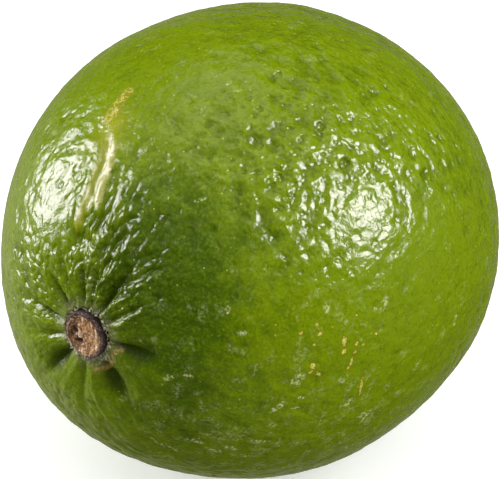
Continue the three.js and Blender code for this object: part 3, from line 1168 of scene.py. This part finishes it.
# The camera: its lens in millimetres, how far it is from the fruit's middle, where it looks from, and
# how far it is moved to its right and upwards, in millimetres. What it sees is between the clip
# distances, in metres.
CAMERA = {
    "lens": 292.5,
    "distance": 450.0,
    "azimuth": 37.413,
    "elevation": 26.85,
    "right": 0.875,
    "up": 0.28,
    "clip": (0.01, 20),
}

# How far the lamps are from the fruit's middle, in metres: the ones that only shine in reflections
# stand nearer, so that none is behind another.
LAMP_DISTANCE = 0.7
SHEEN_DISTANCE = 0.6
SHEEN_COLOUR = (0.96, 0.86, 1.0)

# Name, direction, brightness of its light, then brightness and width in degrees of its reflection.
SOFTBOXES = (
    ("Right softbox", (0.84, 0.28, 0.45), 5.8, 27.0, 26),
    ("Left softbox", (-0.94, -0.28, 0.2), 8.5, 15.5, 28),
)
SOFTBOX_WIDTH = 38

# Name, direction and brightness of the broad, soft lamps that brighten the darker sides.
FILLS = (
    ("Top fill", (0, 0, 1), 0.66),
    ("Front fill", (0.2, -0.6, 0.77), 0.97),
    ("Floor bounce", (0.1, -0.3, -0.95), 0.7),
    ("Back fill", (0.7, 0.7, 0.1), 0.62),
)
FILL_WIDTH = 100

# Lamps that are only seen reflected in the peel.
STRIP = {"toward": (-0.72, -0.5, 0.48), "radiance": 15.0, "width": 22}
OVERHEAD = {"toward": (-0.15, 0.12, 0.97), "width": 50}

# The studio round the fruit: its colour, its glow everywhere, and the two paler walls.
STUDIO_COLOUR = (1.0, 0.96, 0.72, 1)
STUDIO_GLOW = 0.008
BACKDROP = {"toward": (-0.542, 0.709, -0.452), "glow": 0.3}
LEFT_WALL = {"toward": (-0.9, -0.05, -0.43), "glow": 0.42}

# The floor, in metres. It is a little below the fruit's lowest points, so that no faces coincide.
FLOOR = {"half_side": 3.0, "below": 0.00005, "roughness": 0.9, "glow": 0.45}


def look_rotation(backward):
    return Vector(backward).to_track_quat("Z", "Y")


def add_camera():
    azimuth, elevation = math.radians(CAMERA["azimuth"]), math.radians(CAMERA["elevation"])
    right = Vector((math.cos(azimuth), math.sin(azimuth), 0))
    level = math.cos(elevation)
    back = Vector((math.sin(azimuth) * level, -math.cos(azimuth) * level, math.sin(elevation)))
    up = back.cross(right)
    data = bpy.data.cameras.new("Camera")
    data.lens = CAMERA["lens"]
    data.clip_start, data.clip_end = CAMERA["clip"]
    camera = bpy.data.objects.new("Camera", data)
    place = Vector(FRUIT_MIDDLE) + back * CAMERA["distance"] + right * CAMERA["right"] + up * CAMERA["up"]
    camera.location = place * METRES_PER_MM
    camera.rotation_mode = "QUATERNION"
    camera.rotation_quaternion = look_rotation(back)
    bpy.context.scene.collection.objects.link(camera)
    bpy.context.scene.camera = camera


def add_lamp(name, toward, radiance, width, glossy=True, diffuse=True):
    """A round lamp that faces the fruit, and looks as wide from there as the angle width, in degrees."""
    data = bpy.data.lights.new(name, "AREA")
    data.shape = "DISK"
    distance = LAMP_DISTANCE if diffuse else SHEEN_DISTANCE
    data.size = 2 * distance * math.tan(math.radians(width / 2))
    data.energy = radiance * math.pi * math.pi * (data.size / 2) ** 2
    if not diffuse:
        data.color = SHEEN_COLOUR
    lamp = bpy.data.objects.new(name, data)
    back = Vector(toward).normalized()
    lamp.location = Vector((0, 0, AXIS_HEIGHT * METRES_PER_MM)) + back * distance
    lamp.rotation_mode = "QUATERNION"
    lamp.rotation_quaternion = look_rotation(back)
    lamp.visible_camera = False
    lamp.visible_glossy = glossy
    lamp.visible_diffuse = diffuse
    bpy.context.scene.collection.objects.link(lamp)


def add_world():
    """A dark studio with a pale backdrop behind the fruit and a pale wall to its left."""
    world = bpy.data.worlds.new("Studio")
    world.use_nodes = True
    tree = world.node_tree
    facing = add_node(tree, "ShaderNodeTexCoord", None, None, "Generated")
    walls = [
        facing.vector("DOT_PRODUCT", facing, wall["toward"], output=1).step(0.75, 1.0) * wall["glow"]
        for wall in (BACKDROP, LEFT_WALL)
    ]
    glow = walls[0] + walls[1] + STUDIO_GLOW
    set_inputs(tree.nodes["Background"], {"Strength": glow, "Color": STUDIO_COLOUR})
    bpy.context.scene.world = world


def add_floor(colour):
    side = FLOOR["half_side"]
    corners = [(-side, -side, 0), (side, -side, 0), (side, side, 0), (-side, side, 0)]
    mesh = bpy.data.meshes.new("Floor")
    mesh.from_pydata(corners, [], [(0, 1, 2, 3)])
    floor = bpy.data.objects.new("Floor", mesh)
    floor.location.z = -FLOOR["below"]
    floor.visible_diffuse = False
    floor.visible_glossy = False
    floor.visible_shadow = False
    bpy.context.scene.collection.objects.link(floor)
    material, shader, _ = new_material("Floor paper")
    set_inputs(shader, {
        "Base Color": (*colour, 1),
        "Roughness": FLOOR["roughness"],
        "Emission Color": (1, 1, 1, 1),
        "Emission Strength": FLOOR["glow"],
    })
    floor.data.materials.append(material)


class LIME_OT_stage(bpy.types.Operator):
    """Set up the floor, the lamps and the camera"""

    bl_idname = "lime.stage"
    bl_label = "Stage"

    def execute(self, context):
        settings = context.scene.lime_stage
        add_camera()
        add_world()
        for name, toward, radiance, sheen, width in SOFTBOXES:
            add_lamp(name, toward, radiance, SOFTBOX_WIDTH, glossy=False)
            add_lamp(name + " sheen", toward, sheen, width, diffuse=False)
        for name, toward, radiance in FILLS:
            add_lamp(name, toward, radiance, FILL_WIDTH, glossy=False)
        add_lamp("Left strip", **STRIP, diffuse=False)
        add_lamp("Overhead panel", radiance=settings.panel_radiance, **OVERHEAD, diffuse=False)
        add_floor(settings.floor_colour)
        context.scene.view_settings.view_transform = "Standard"
        return {"FINISHED"}


class LIME_PT_panel(bpy.types.Panel):
    """The lime's pieces and their settings"""

    bl_idname = "LIME_PT_panel"
    bl_label = "Fresh Lime"
    bl_space_type = "VIEW_3D"
    bl_region_type = "UI"
    bl_category = "Lime"

    def draw(self, context):
        for operator, settings in PIECES:
            column = self.layout.column()
            column.operator(operator.bl_idname)
            for name in settings.__annotations__:
                column.prop(getattr(context.scene, settings_name(operator)), name)


PIECES = (
    (LIME_OT_peel, LimePeelSettings),
    (LIME_OT_button, LimeButtonSettings),
    (LIME_OT_calyx, LimeCalyxSettings),
    (LIME_OT_stage, LimeStageSettings),
)


def settings_name(operator):
    """Where the scene keeps the settings of an operator: those of lime.peel are in lime_peel."""
    return operator.bl_idname.replace(".", "_")


def register():
    for operator, settings in PIECES:
        bpy.utils.register_class(settings)
        bpy.utils.register_class(operator)
        setattr(bpy.types.Scene, settings_name(operator), bpy.props.PointerProperty(type=settings))
    bpy.utils.register_class(LIME_PT_panel)


def unregister():
    bpy.utils.unregister_class(LIME_PT_panel)
    for operator, settings in reversed(PIECES):
        delattr(bpy.types.Scene, settings_name(operator))
        bpy.utils.unregister_class(operator)
        bpy.utils.unregister_class(settings)


def main():
    register()
    bpy.ops.lime.peel()
    bpy.ops.lime.button()
    bpy.ops.lime.calyx()
    bpy.ops.lime.stage()


if __name__ == "__main__":
    main()
